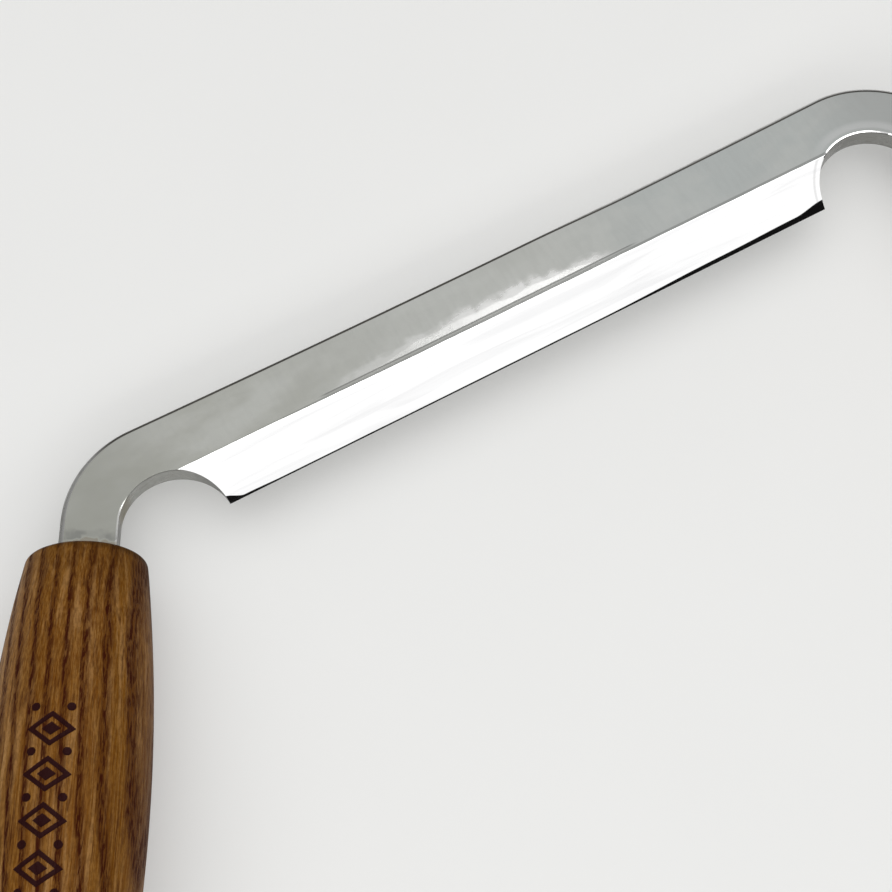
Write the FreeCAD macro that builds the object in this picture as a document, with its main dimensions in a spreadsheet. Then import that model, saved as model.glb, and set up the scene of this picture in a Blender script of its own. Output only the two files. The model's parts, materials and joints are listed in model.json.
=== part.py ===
"""Drawknife: a one-piece steel blade whose tangs are bedded in two turned ash handles.

Frame of the blade before it is laid down: X runs along the cutting edge, Y from the edge to
the spine, Z up from the flat back to the upper face, origin at the middle of the edge.
The finished tool lies bevel up and balances on the bellies of its two handles, on a surface
at Z = 0, with the blade just clear of it. It is symmetric about X = 0. Millimetres, degrees.
"""
import FreeCAD, Part
import math
import os

import Sketcher
from FreeCAD import Vector

# Driving dimensions: alias, value, meaning.
DIMENSIONS = [
    ("edge_length", 140.0, "cutting edge, corner to corner"),
    ("blade_width", 22.2, "edge line to spine line, at the ends of the spine"),
    ("spine_hollow", 0.75, "how far the spine dips at its middle"),
    ("plate", 4.6, "thickness of the blade and necks"),
    ("bevel_width", 9.7, "bevel on the upper face, edge to bevel line"),
    ("hone_width", 0.35, "narrow honed bevel along the edge"),
    ("hone_angle", 36.0, "honed bevel, above the flat back"),
    ("notch_radius", 11.4, "half-round notch at each end of the edge"),
    ("neck_width", 11.4, "neck between the bend and the handle"),
    ("neck_run", 8.3, "straight neck from the bend to the handle"),
    ("splay", 30.3, "handles turned out from the -Y direction"),
    ("arris", 0.6, "rounding of the polished arrises"),
    ("tang_root", 8.8, "tang width where it enters the handle"),
    ("tang_tip", 5.0, "tang width at its tip"),
    ("tang_thick", 4.0, "tang thickness"),
    ("tang_length", 72.0, "tang inside the handle"),
    ("bore_radius", 5.1, "drilled bore in the handle"),
    ("bore_depth", 76.0, "bore at full width, without the drill point"),
    ("drill_point", 3.0, "height of the cone at the bottom of the bore"),
    ("handle_length", 108.0, "shoulder to the rim of the butt"),
    ("belly_at", 52.0, "fattest place, measured from the shoulder"),
    ("belly_radius", 15.75, "handle radius at the belly"),
    ("shoulder_radius", 11.65, "handle radius at the shoulder"),
    ("butt_dome", 2.4, "height of the domed butt above its rim"),
    ("shoulder_round", 1.0, "rounding of the shoulder's rim"),
    ("butt_round", 4.5, "rounding of the butt's rim"),
    ("steel_density", 7.85, "grams per cubic centimetre"),
    ("ash_density", 0.68, "grams per cubic centimetre"),
    ("resin_density", 1.15, "grams per cubic centimetre"),
]
POSE = ("rest_tilt", "rest_y", "rest_z")  # worked out from the finished shapes

SIDES = (("left", -1), ("right", 1))
DENSITY_OF = {"blade": "dims.steel_density", "handle": "dims.ash_density",
              "tang_bedding": "dims.resin_density"}
OVERRUN = 1.25  # the bevel's cutter runs past the plate by a quarter of its own size
TOUCHING = 1e-4  # points closer than this are the same place
STEEPEST = 20  # no handle of this kind balances at a steeper tilt, in degrees

# Places that follow from the dimensions, as expressions.
BEND_Y = "(dims.blade_width - dims.notch_radius - dims.neck_width)"
BEND_X = f"(dims.edge_length / 2 + sqrt(dims.notch_radius ^ 2 - {BEND_Y} ^ 2))"
NECK_RADIUS = "(dims.notch_radius + dims.neck_width / 2)"
SHOULDER_X = f"({BEND_X} + {NECK_RADIUS} * cos(dims.splay) + dims.neck_run * sin(dims.splay))"
SHOULDER_Y = f"({BEND_Y} + {NECK_RADIUS} * sin(dims.splay) - dims.neck_run * cos(dims.splay))"
BELLY_SAG = "(dims.belly_radius - dims.shoulder_radius)"
BARREL_RADIUS = f"((dims.belly_at ^ 2 + {BELLY_SAG} ^ 2) / (2 * {BELLY_SAG}))"

START, END, CENTRE = 1, 2, 3  # point numbers on a sketched line or arc
ORIGIN, X_AXIS, Y_AXIS = -1, -1, -2  # the sketch's own geometry

doc = FreeCAD.newDocument("drawknife")
dims = doc.addObject("Spreadsheet::Sheet", "dims")


def fill_sheet():
    """One dimension per row: its meaning, then its value with its alias."""
    rows = DIMENSIONS + [(alias, 0.0, "pose of the finished tool") for alias in POSE]
    for row, (alias, number, meaning) in enumerate(rows, start=1):
        dims.set(f"A{row}", meaning)
        dims.set(f"B{row}", str(number))
        dims.setAlias(f"B{row}", alias)
    doc.recompute()


# ---- sketches ----------------------------------------------------------------------------

def origin_feature(body, role):
    """The body's own origin plane or axis with this role."""
    return next(item for item in body.Origin.OriginFeatures if item.Role == role)


def new_sketch(body, name, role):
    """A sketch on one of the body's own origin planes."""
    sketch = body.newObject("Sketcher::SketchObject", name)
    sketch.AttachmentSupport = [(origin_feature(body, role), "")]
    sketch.MapMode = "FlatFace"
    return sketch


def constrain(sketch, *rule):
    return sketch.addConstraint(Sketcher.Constraint(*rule))


def drive(sketch, expression, *rule):
    """Add a dimension and bind it to the sheet."""
    index = constrain(sketch, *rule)
    sketch.setExpression(f"Constraints[{index}]", expression)


def value(expression):
    """What an expression comes to now, as a first guess for the sketch."""
    return float(dims.evalExpression(expression.replace("dims.", "")))


def line(sketch, start, end):
    return sketch.addGeometry(Part.LineSegment(Vector(*start, 0), Vector(*end, 0)))


def arc(sketch, centre, radius, first, last):
    """An arc drawn anticlockwise between two angles in degrees."""
    circle = Part.Circle(Vector(*centre, 0), Vector(0, 0, 1), radius)
    return sketch.addGeometry(Part.ArcOfCircle(circle, math.radians(first), math.radians(last)))


def join(sketch, *ends):
    """Make each pair of ends, given as geometry and point number, one point."""
    for geometry_a, point_a, geometry_b, point_b in ends:
        constrain(sketch, "Coincident", geometry_a, point_a, geometry_b, point_b)


def polygon(sketch, corners):
    """A closed polygon whose corners are pairs of expressions bound to the sheet."""
    places = [(value(x), value(y)) for x, y in corners]
    count = len(corners)
    lines = [line(sketch, places[i], places[(i + 1) % count]) for i in range(count)]
    for i, (x, y) in enumerate(corners):
        join(sketch, (lines[i - 1], END, lines[i], START))
        place(sketch, lines[i], START, x, y)
    return lines


def place(sketch, geometry, point, x, y):
    """Bind a point to two expressions, measured from the sketch's origin."""
    for rule, expression, axis in (("DistanceX", x, Y_AXIS), ("DistanceY", y, X_AXIS)):
        if expression == "0":
            constrain(sketch, "PointOnObject", geometry, point, axis)
        else:
            guess = value(expression)
            drive(sketch, expression, rule, ORIGIN, START, geometry, point, guess)


# ---- the blade ---------------------------------------------------------------------------

def draw_half_outline(body):
    """Right half of the blade and its neck, seen from above, without the tang."""
    sketch = new_sketch(body, "half_outline", "XY_Plane")
    bend = value(BEND_X), value(BEND_Y)
    inner, width = value("dims.notch_radius"), value("dims.neck_width")
    outer = inner + width
    splay, run = value("dims.splay"), value("dims.neck_run")
    top = value("dims.blade_width - dims.spine_hollow")
    rise = top - bend[1]
    spine_radius = (bend[0] ** 2 + rise ** 2 - outer ** 2) / (2 * (outer - rise))
    spine_turn = math.degrees(math.atan2(bend[0], spine_radius + rise))
    corner_turn = math.degrees(math.atan2(-bend[1], value("dims.edge_length / 2") - bend[0]))

    def on_neck(radius, along):
        """A point beside the neck: its distance from the bend's centre line, and how far on."""
        turn = math.radians(splay)
        return (bend[0] + radius * math.cos(turn) + along * math.sin(turn),
                bend[1] + radius * math.sin(turn) - along * math.cos(turn))

    edge = line(sketch, (0, 0), (value("dims.edge_length / 2"), 0))
    notch = arc(sketch, bend, inner, splay, corner_turn)
    neck_inside = line(sketch, on_neck(inner, 0), on_neck(inner, run))
    neck_end = line(sketch, on_neck(inner, run), on_neck(outer, run))
    neck_outside = line(sketch, on_neck(outer, run), on_neck(outer, 0))
    elbow = arc(sketch, bend, outer, splay, 90 + spine_turn)
    spine = arc(sketch, (0, top + spine_radius), spine_radius, 270, 270 + spine_turn)
    middle = line(sketch, (0, top), (0, 0))

    join(sketch, (edge, START, ORIGIN, START), (edge, END, notch, END),
         (neck_inside, END, neck_end, START), (neck_end, END, neck_outside, START),
         (spine, START, middle, START), (middle, END, edge, START), (elbow, CENTRE, notch, CENTRE))
    constrain(sketch, "Tangent", notch, START, neck_inside, START)
    constrain(sketch, "Tangent", neck_outside, END, elbow, START)
    constrain(sketch, "Tangent", elbow, END, spine, END)
    constrain(sketch, "Horizontal", edge)
    constrain(sketch, "Vertical", middle)
    constrain(sketch, "PointOnObject", spine, CENTRE, Y_AXIS)
    constrain(sketch, "Perpendicular", neck_inside, neck_end)
    constrain(sketch, "Parallel", neck_inside, neck_outside)
    drive(sketch, "dims.edge_length / 2", "Distance", edge, value("dims.edge_length / 2"))
    drive(sketch, "dims.notch_radius", "Radius", notch, inner)
    drive(sketch, "dims.neck_run", "Distance", neck_inside, run)
    drive(sketch, "dims.neck_width", "Distance", neck_end, width)
    drive(sketch, "dims.blade_width - dims.spine_hollow", "Distance", middle, top)
    drive(sketch, "(dims.splay - 90) * 1 deg", "Angle", neck_inside, math.radians(splay - 90))
    drive(sketch, BEND_Y, "DistanceY", ORIGIN, START, notch, CENTRE, bend[1])
    return sketch


def draw_bevel_cutter(body):
    """What the bevel and the honed bevel take off, in the plane across the blade."""
    sketch = new_sketch(body, "bevel_cutter", "YZ_Plane")
    hone_height = "(dims.hone_width * tan(dims.hone_angle))"
    far_y = f"dims.hone_width + (dims.bevel_width - dims.hone_width) * {OVERRUN}"
    far_z = f"{hone_height} + (dims.plate - {hone_height}) * {OVERRUN}"
    near_y = f"dims.hone_width * (1 - {OVERRUN})"
    near_z = f"{hone_height} * (1 - {OVERRUN})"
    polygon(sketch, [(near_y, near_z), ("dims.hone_width", hone_height), (far_y, far_z),
                     (near_y, far_z)])
    return sketch


def draw_tang(body, name, offset):
    """The tapered tang, along the sketch's own X from the handle's shoulder."""
    sketch = new_sketch(body, name, "XY_Plane")
    for path, expression in offset.items():
        sketch.setExpression(f"AttachmentOffset.{path}", expression)
    root, tip = "dims.tang_root / 2", "dims.tang_tip / 2"
    polygon(sketch, [("0", f"-{root}"), ("dims.tang_length", f"-{tip}"),
                     ("dims.tang_length", tip), ("0", root)])
    return sketch


def pad(body, name, sketch, length):
    feature = body.newObject("PartDesign::Pad", name)
    feature.Profile = sketch
    feature.setExpression("Length", length)
    return feature


def pocket(body, name, sketch, length, reverse=False, both_ways=False):
    feature = body.newObject("PartDesign::Pocket", name)
    feature.Profile = sketch
    feature.Reversed = reverse
    feature.SideType = "Symmetric" if both_ways else "One side"
    feature.setExpression("Length", length)
    return feature


def require_cut(before, after):
    """Stop if a pocket pointed away from the solid and took nothing off."""
    if after.Shape.Volume > before.Shape.Volume - 1:
        raise RuntimeError(f"{after.Name} cut nothing")


def outer_arrises(shape):
    """Names of the long arrises on both faces round the spine, the bends and the necks."""
    bend_x, bend_y = value(BEND_X), value(BEND_Y)
    plate = value("dims.plate")
    reach = value("dims.notch_radius + dims.neck_width - dims.spine_hollow") - TOUCHING
    names = []
    for number, edge in enumerate(shape.Edges, start=1):
        middle = edge.valueAt((edge.FirstParameter + edge.LastParameter) / 2)
        on_a_face = min(abs(middle.z), abs(middle.z - plate)) < TOUCHING
        from_bend = math.hypot(max(abs(middle.x) - bend_x, 0), middle.y - bend_y)
        if on_a_face and from_bend > reach:
            names.append(f"Edge{number}")
    return names


def make_blade():
    blade = doc.addObject("PartDesign::Body", "blade")
    doc.recompute()
    plate = pad(blade, "plate", draw_half_outline(blade), "dims.plate")
    doc.recompute()
    bevel = pocket(blade, "bevel", draw_bevel_cutter(blade), BEND_X, reverse=True)
    doc.recompute()
    require_cut(plate, bevel)
    tang = pad(blade, "tang", draw_tang(blade, "tang_outline", {
        "Base.x": SHOULDER_X,
        "Base.y": SHOULDER_Y,
        "Base.z": "(dims.plate - dims.tang_thick) / 2",
        "Rotation.Angle": "dims.splay - 90"}), "dims.tang_thick")
    doc.recompute()
    both = blade.newObject("PartDesign::Mirrored", "both_halves")
    both.MirrorPlane = (origin_feature(blade, "YZ_Plane"), [""])
    both.Originals = [plate, bevel, tang]
    blade.Tip = both
    doc.recompute()
    rounding = blade.newObject("PartDesign::Fillet", "arris_rounding")
    rounding.Base = (both, outer_arrises(both.Shape))
    rounding.setExpression("Radius", "dims.arris")
    blade.Tip = rounding
    return blade


# ---- a handle and its bedding --------------------------------------------------------------

def turn(body, sketch):
    """Revolve a profile about the sketch's own X axis."""
    feature = body.newObject("PartDesign::Revolution", "turned")
    feature.Profile = sketch
    feature.ReferenceAxis = (sketch, ["H_Axis"])
    feature.Angle = 360
    return feature


def draw_handle_profile(body):
    """Half section of a handle with its bore: X from the shoulder to the butt."""
    sketch = new_sketch(body, "half_section", "XY_Plane")
    length, bore = value("dims.handle_length"), value("dims.bore_radius")
    shoulder = value("dims.shoulder_radius")
    belly_at, barrel = value("dims.belly_at"), value(BARREL_RADIUS)
    barrel_y = value(f"dims.belly_radius - {BARREL_RADIUS}")
    rim = barrel_y + math.sqrt(barrel ** 2 - (length - belly_at) ** 2)
    dome = value("dims.butt_dome")
    dome_radius = (rim ** 2 + dome ** 2) / (2 * dome)
    dome_x = length + dome - dome_radius
    bore_end = value("dims.bore_depth")
    cone_end = value("dims.bore_depth + dims.drill_point")

    def turn_to(x, y):
        return math.degrees(math.atan2(y, x))

    shoulder_face = line(sketch, (0, bore), (0, shoulder))
    side = arc(sketch, (belly_at, barrel_y), barrel,
               turn_to(length - belly_at, rim - barrel_y), turn_to(-belly_at, shoulder - barrel_y))
    butt = arc(sketch, (dome_x, 0), dome_radius, 0, turn_to(length - dome_x, rim))
    core = line(sketch, (length + dome, 0), (cone_end, 0))
    cone = line(sketch, (cone_end, 0), (bore_end, bore))
    bore_wall = line(sketch, (bore_end, bore), (0, bore))

    join(sketch, (shoulder_face, END, side, END), (side, START, butt, END),
         (butt, START, core, START), (core, END, cone, START), (cone, END, bore_wall, START),
         (bore_wall, END, shoulder_face, START))
    place(sketch, shoulder_face, START, "0", "dims.bore_radius")
    place(sketch, shoulder_face, END, "0", "dims.shoulder_radius")
    place(sketch, core, START, "dims.handle_length + dims.butt_dome", "0")
    place(sketch, core, END, "dims.bore_depth + dims.drill_point", "0")
    place(sketch, bore_wall, START, "dims.bore_depth", "dims.bore_radius")
    constrain(sketch, "PointOnObject", butt, CENTRE, X_AXIS)
    drive(sketch, BARREL_RADIUS, "Radius", side, barrel)
    drive(sketch, "dims.belly_at", "DistanceX", ORIGIN, START, side, CENTRE, belly_at)
    drive(sketch, "dims.handle_length", "DistanceX", ORIGIN, START, side, START, length)
    return sketch


def rim_at(shape, x):
    """Name of the widest circle about the X axis that lies at this place."""
    circles = [(edge.Length, f"Edge{number}") for number, edge in enumerate(shape.Edges, start=1)
               if not edge.Degenerated and edge.BoundBox.XLength < 2 * TOUCHING
               and abs(edge.BoundBox.Center.x - x) < TOUCHING]
    return max(circles)[1]


def round_rim(body, name, x, radius):
    base = body.Tip
    feature = body.newObject("PartDesign::Fillet", name)
    feature.Base = (base, [rim_at(base.Shape, x)])
    feature.setExpression("Radius", radius)
    body.Tip = feature
    doc.recompute()


def make_handle(side):
    """A barrel-shaped ash handle, turned in one piece, with a blind bore for the tang."""
    handle = doc.addObject("PartDesign::Body", f"handle_{side}")
    doc.recompute()
    handle.Tip = turn(handle, draw_handle_profile(handle))
    doc.recompute()
    round_rim(handle, "shoulder_rim", 0, "dims.shoulder_round")
    round_rim(handle, "butt_rim", value("dims.handle_length"), "dims.butt_round")
    return handle


def make_bedding(side):
    """The hardened resin that fills the bore round the tang."""
    bedding = doc.addObject("PartDesign::Body", f"tang_bedding_{side}")
    doc.recompute()
    profile = new_sketch(bedding, "bore_filling", "XY_Plane")
    polygon(profile, [("0", "0"), ("dims.bore_depth + dims.drill_point", "0"),
                      ("dims.bore_depth", "dims.bore_radius"), ("0", "dims.bore_radius")])
    filling = turn(bedding, profile)
    doc.recompute()
    slot = pocket(bedding, "tang_slot", draw_tang(bedding, "tang_outline", {}),
                  "dims.tang_thick", both_ways=True)
    bedding.Tip = slot
    doc.recompute()
    require_cut(filling, slot)
    return bedding


# ---- laying the tool down --------------------------------------------------------------------

def centre_of_mass(bodies):
    """Centre of mass of the whole tool, in the frame that the bodies are in now."""
    mass, moment = 0.0, Vector()
    for body in bodies:
        material = next(name for name in DENSITY_OF if body.Label.startswith(name))
        grams = body.Shape.Volume * value(DENSITY_OF[material])
        mass += grams
        moment += body.Shape.CenterOfGravity * grams
    return moment / mass


def balance_tilt(centre):
    """Tilt, in degrees, at which the tool balances on the bellies of its two handles.

    Each barrel is an arc turned about the handle's axis, so for any tilt the place where it
    touches the surface is known. It balances where the centre of mass is straight above.
    """
    splay = math.radians(value("dims.splay"))
    axis = Vector(math.sin(splay), -math.cos(splay), 0)
    shoulder = Vector(0, value(SHOULDER_Y), value("dims.plate / 2"))
    barrel, belly = value(BARREL_RADIUS), value("dims.belly_radius")
    low, high = 0.0, math.radians(STEEPEST)
    while high - low > TOUCHING ** 2:
        tilt = (low + high) / 2
        down = Vector(0, math.sin(tilt), -math.cos(tilt))
        level = Vector(0, math.cos(tilt), math.sin(tilt))
        along = axis.dot(down)
        across = math.sqrt(1 - along ** 2)
        outward = (down - axis * along) / across
        touch = (shoulder + axis * (value("dims.belly_at") + barrel * along)
                 + outward * (belly - barrel + barrel * across))
        if (centre - touch).dot(level) > 0:
            low = tilt
        else:
            high = tilt
    return math.degrees(low)


def lay_down(bodies):
    """Tip the tool to where it balances, centred over the origin and standing on Z = 0."""
    dims.set("rest_tilt", str(round(balance_tilt(centre_of_mass(bodies)), 6)))
    doc.recompute()
    box = FreeCAD.BoundBox()
    for body in bodies:
        box.add(body.Shape.optimalBoundingBox(False, False))
    dims.set("rest_y", str(round(-(box.YMin + box.YMax) / 2, 6)))
    dims.set("rest_z", str(round(-box.ZMin, 6)))
    doc.recompute()


fill_sheet()
blade = make_blade()
blade.setExpression("Placement", "placement(vector(0; dims.rest_y; dims.rest_z);"
                                 " rotation(vector(1; 0; 0); -dims.rest_tilt))")
parts = [blade]
for side, sign in SIDES:
    for piece in (make_handle(side), make_bedding(side)):
        piece.setExpression("Placement", f"blade.Placement * placement(vector({sign} * {SHOULDER_X};"
                            f" {SHOULDER_Y}; dims.plate / 2);"
                            f" rotation(vector(0; 0; 1); {sign} * dims.splay - 90))")
        parts.append(piece)
lay_down(parts)

for item in doc.Objects:
    if "Invalid" in item.State or "Error" in item.State:
        raise RuntimeError(f"{item.Name} did not recompute: {item.State}")
for body in parts:
    if body.Shape.isNull() or not body.Shape.isValid() or len(body.Shape.Solids) != 1:
        raise RuntimeError(f"{body.Label} is not one valid solid")

os.makedirs("parts", exist_ok=True)
for body in parts:
    body.Shape.exportStep(f"parts/{body.Label}.step")
    print(body.Label, round(body.Shape.Volume, 1), "cubic mm")
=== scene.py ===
"""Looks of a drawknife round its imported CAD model: a ground and polished steel blade, turned and
oiled ash handles with a burnt ornament on the left one, and the resin that beds the tangs.

Lengths are in millimetres in the frame of the blade (X along the cutting edge, Y from the edge to
the spine, Z up from the flat back, origin at the middle of the edge) unless a name ends in _M.
"""
import json
import math

import bmesh
import bpy
import numpy as np
from mathutils import Matrix, Vector, noise


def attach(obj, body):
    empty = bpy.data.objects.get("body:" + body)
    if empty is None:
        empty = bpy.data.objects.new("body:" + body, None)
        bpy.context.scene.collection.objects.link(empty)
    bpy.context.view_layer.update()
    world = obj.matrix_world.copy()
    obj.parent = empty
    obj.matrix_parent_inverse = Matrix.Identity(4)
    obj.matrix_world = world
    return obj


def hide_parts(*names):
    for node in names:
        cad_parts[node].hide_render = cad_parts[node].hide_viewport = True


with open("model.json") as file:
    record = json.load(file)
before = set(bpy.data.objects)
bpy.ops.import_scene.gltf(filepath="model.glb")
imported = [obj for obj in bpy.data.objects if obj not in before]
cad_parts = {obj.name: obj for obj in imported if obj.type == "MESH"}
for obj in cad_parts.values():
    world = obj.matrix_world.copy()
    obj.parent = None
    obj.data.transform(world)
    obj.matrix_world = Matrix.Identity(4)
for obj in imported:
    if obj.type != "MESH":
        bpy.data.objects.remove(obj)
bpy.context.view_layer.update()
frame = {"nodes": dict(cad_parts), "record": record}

MM = 0.001
MOUNTS = {m["name"]: m for m in frame["record"]["mounts"]}

# Blade, the sizes of its CAD solid.
EDGE_HALF = 70.0
BLADE_WIDTH = 22.2
SPINE_HOLLOW = 0.75
PLATE = 4.6
NOTCH_RADIUS = 11.4
NECK_WIDTH = 11.4
NECK_RUN = 8.3
SPLAY = math.radians(30.3)
TANG_ROOT, TANG_TIP, TANG_THICK, TANG_LENGTH = 8.8, 5.0, 4.0, 72.0

# Blade, details of the finer mesh.
BEVEL_LINE = 9.5
HONE_ANGLE = math.radians(36)
ROLL_ANGLE = math.radians(4.5)
BACK_ROUND, SPINE_ROUND, SPINE_FOOT_ROUND = 0.25, 0.75, 0.6

# Handles, measured along their axis from the shoulder.
HANDLE_LENGTH = 108.0
BELLY_AT, BELLY_RADIUS, SHOULDER_RADIUS = 52.0, 15.75, 11.65
BUTT_DOME, BUTT_ROUND, SHOULDER_ROUND = 2.4, 4.5, 1.0
BORE_RADIUS, BORE_DEPTH, DRILL_POINT = 5.1, 76.0, 3.0
SHOULDER_SKEW, TURNING_WAVE = 0.55, 0.05

# Ornament on the left handle, along the handle's axis and round it from the ornament's middle line.
MARK_FROM, MARK_TO, MARK_HALF_WIDTH = 33.5, 80.0, 5.2
MARK_DEPTH, MARK_TURN = 0.18, 0.06
LOZENGES, LOZENGE_PITCH, FIRST_LOZENGE_AT = 5, 8.6, 39.0
LOZENGE_HALF_LENGTH, LOZENGE_HALF_WIDTH = 3.5, 4.7
DOT_ASIDE = 3.3

# Places that follow from them.
BEND_Y = BLADE_WIDTH - NOTCH_RADIUS - NECK_WIDTH
BEND_X = EDGE_HALF + math.sqrt(NOTCH_RADIUS ** 2 - BEND_Y ** 2)
BEND = np.array((BEND_X, BEND_Y))
OUTER_RADIUS = NOTCH_RADIUS + NECK_WIDTH
SPINE_LOW = BLADE_WIDTH - SPINE_HOLLOW
SPINE_RISE = SPINE_LOW - BEND_Y
SPINE_RADIUS = (BEND_X ** 2 + SPINE_RISE ** 2 - OUTER_RADIUS ** 2) / (2 * (OUTER_RADIUS - SPINE_RISE))
SPINE_TURN = math.atan2(BEND_X, SPINE_RADIUS + SPINE_RISE)
CORNER_TURN = math.atan2(-BEND_Y, EDGE_HALF - BEND_X)
NECK_ALONG = np.array((math.sin(SPLAY), -math.cos(SPLAY)))
NECK_OUT = np.array((math.cos(SPLAY), math.sin(SPLAY)))
SHOULDER = BEND + (NOTCH_RADIUS + NECK_WIDTH / 2) * NECK_OUT + NECK_RUN * NECK_ALONG
BARREL_SAG = BELLY_RADIUS - SHOULDER_RADIUS
BARREL_RADIUS = (BELLY_AT ** 2 + BARREL_SAG ** 2) / (2 * BARREL_SAG)


def blade_frame():
    """Blade frame to row frame, from two of the record's mounts."""
    seat, back = MOUNTS["edge_guard_seat"], MOUNTS["blade_back"]
    y_axis = -Vector(seat["axis"]).normalized()
    z_axis = -Vector(back["axis"]).normalized()
    turn = Matrix((y_axis.cross(z_axis), y_axis, z_axis)).transposed().to_4x4()
    return Matrix.Translation(Vector(seat["pos_m"])) @ turn


BLADE = blade_frame()


def to_row(x, y, z):
    """A place in the blade's frame, in metres in the row frame."""
    return BLADE @ (Vector((x, y, z)) * MM)


def smooth(low, high, x):
    """0 below low and 1 above high, with a smooth step between."""
    t = min(max((x - low) / (high - low), 0.0), 1.0)
    return t * t * (3 - 2 * t)


def wander(x, scale, seed):
    """Smooth pseudo-random value between about -1 and 1 along x."""
    return noise.noise(Vector((x / scale, seed * 7.31, seed * 3.17)))


def round_off(start, at, end, t):
    """Point at t on the curve that rounds the corner at, from start to end."""
    return (1 - t) ** 2 * start + 2 * t * (1 - t) * at + t * t * end


# ---- materials -------------------------------------------------------------------------------

class Shader:
    """A Principled material, with short calls that add its nodes.

    Its place is in millimetres in the frame given: the blade's, a handle's, or the row's.
    """

    def __init__(self, name, within, **values):
        self.material = bpy.data.materials.new(name)
        self.material.use_nodes = True
        self.tree = self.material.node_tree
        self.surface = self.tree.nodes["Principled BSDF"]
        for socket, value in values.items():
            self.surface.inputs[socket.replace("_", " ")].default_value = value
        coordinates = self.node("ShaderNodeTexCoord")
        local = self.node("ShaderNodeMapping", vector_type="TEXTURE")
        self.tree.links.new(coordinates.outputs["Object"], local.inputs["Vector"])
        local.inputs["Location"].default_value = within.to_translation()
        local.inputs["Rotation"].default_value = within.to_euler()
        local.inputs["Scale"].default_value = (MM, MM, MM)
        self.place = local.outputs[0]

    def node(self, kind, **settings):
        made = self.tree.nodes.new(kind)
        for key, value in settings.items():
            setattr(made, key, value)
        return made

    def feed(self, socket, value):
        if isinstance(value, bpy.types.NodeSocket):
            self.tree.links.new(value, socket)
        else:
            socket.default_value = value

    def stretched(self, x, y, z, vector=None, shift=(0, 0, 0)):
        """The place, or the vector given, scaled along each axis and then shifted."""
        made = self.node("ShaderNodeMapping")
        self.feed(made.inputs["Vector"], vector or self.place)
        made.inputs["Scale"].default_value = (x, y, z)
        made.inputs["Location"].default_value = shift
        return made.outputs[0]

    def noise(self, vector, detail=2.0, roughness=0.5, distortion=0.0):
        made = self.node("ShaderNodeTexNoise")
        self.feed(made.inputs["Vector"], vector)
        for name, value in (("Scale", 1.0), ("Detail", detail), ("Roughness", roughness),
                            ("Distortion", distortion)):
            made.inputs[name].default_value = value
        return made.outputs["Fac"]

    def math(self, operation, a, b=0.0, c=0.0, clamp=False):
        made = self.node("ShaderNodeMath", operation=operation, use_clamp=clamp)
        for socket, value in zip(made.inputs, (a, b, c)):
            self.feed(socket, value)
        return made.outputs[0]

    def plus(self, a, b):
        return self.math("ADD", a, b)

    def times(self, a, b):
        return self.math("MULTIPLY", a, b)

    def vector_math(self, operation, a, b=(0, 0, 0)):
        made = self.node("ShaderNodeVectorMath", operation=operation)
        self.feed(made.inputs[0], a)
        self.feed(made.inputs[1], b)
        return made.outputs["Value" if operation in ("DOT_PRODUCT", "DISTANCE") else 0]

    def axis(self, letter):
        made = self.node("ShaderNodeSeparateXYZ")
        self.feed(made.inputs[0], self.place)
        return made.outputs[letter]

    def span(self, value, low, high, to_low=0.0, to_high=1.0, kind="SMOOTHSTEP"):
        """Remaps low..high onto to_low..to_high, smoothly and held at the ends."""
        made = self.node("ShaderNodeMapRange", interpolation_type=kind, clamp=True)
        for socket, number in zip(made.inputs, (value, low, high, to_low, to_high)):
            self.feed(socket, number)
        return made.outputs[0]

    def band(self, value, low, full, still_full, high):
        """Rises from 0 at low to 1 at full, and falls from 1 at still_full to 0 at high."""
        return self.times(self.span(value, low, full), self.span(value, high, still_full))

    def mix(self, amount, a, b):
        made = self.node("ShaderNodeMix", data_type="RGBA", blend_type="MIX")
        self.feed(made.inputs["Factor"], amount)
        self.feed(made.inputs[6], a)
        self.feed(made.inputs[7], b)
        return made.outputs[2]

    def bump(self, height, depth_mm, strength=1.0):
        made = self.node("ShaderNodeBump")
        made.inputs["Distance"].default_value = depth_mm * MM
        made.inputs["Strength"].default_value = strength
        self.feed(made.inputs["Height"], height)
        return made.outputs[0]

    def use(self, **sockets):
        """Feeds the surface's sockets, and gives the finished material."""
        for name, value in sockets.items():
            self.feed(self.surface.inputs[name.replace("_", " ")], value)
        return self.material


def rgb(red, green, blue):
    return (red, green, blue, 1.0)


def folded_place(shader):
    """The place seen from above with the left half of the blade folded onto the right one."""
    sideways = shader.vector_math("MULTIPLY", shader.vector_math("ABSOLUTE", shader.place), (1, 0, 0))
    return shader.vector_math("ADD", sideways, shader.vector_math("MULTIPLY", shader.place, (0, 1, 0)))


def bend_distance(shader):
    """Distance from the middle of the bend, and beside the neck from the line that goes on from it."""
    offset = shader.vector_math("SUBTRACT", folded_place(shader), (*BEND, 0))
    past = shader.math("MAXIMUM", shader.vector_math("DOT_PRODUCT", offset, (*NECK_ALONG, 0)), 0.0)
    return shader.vector_math("DISTANCE", offset, shader.vector_math("MULTIPLY", (*NECK_ALONG, 0), past))


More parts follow.
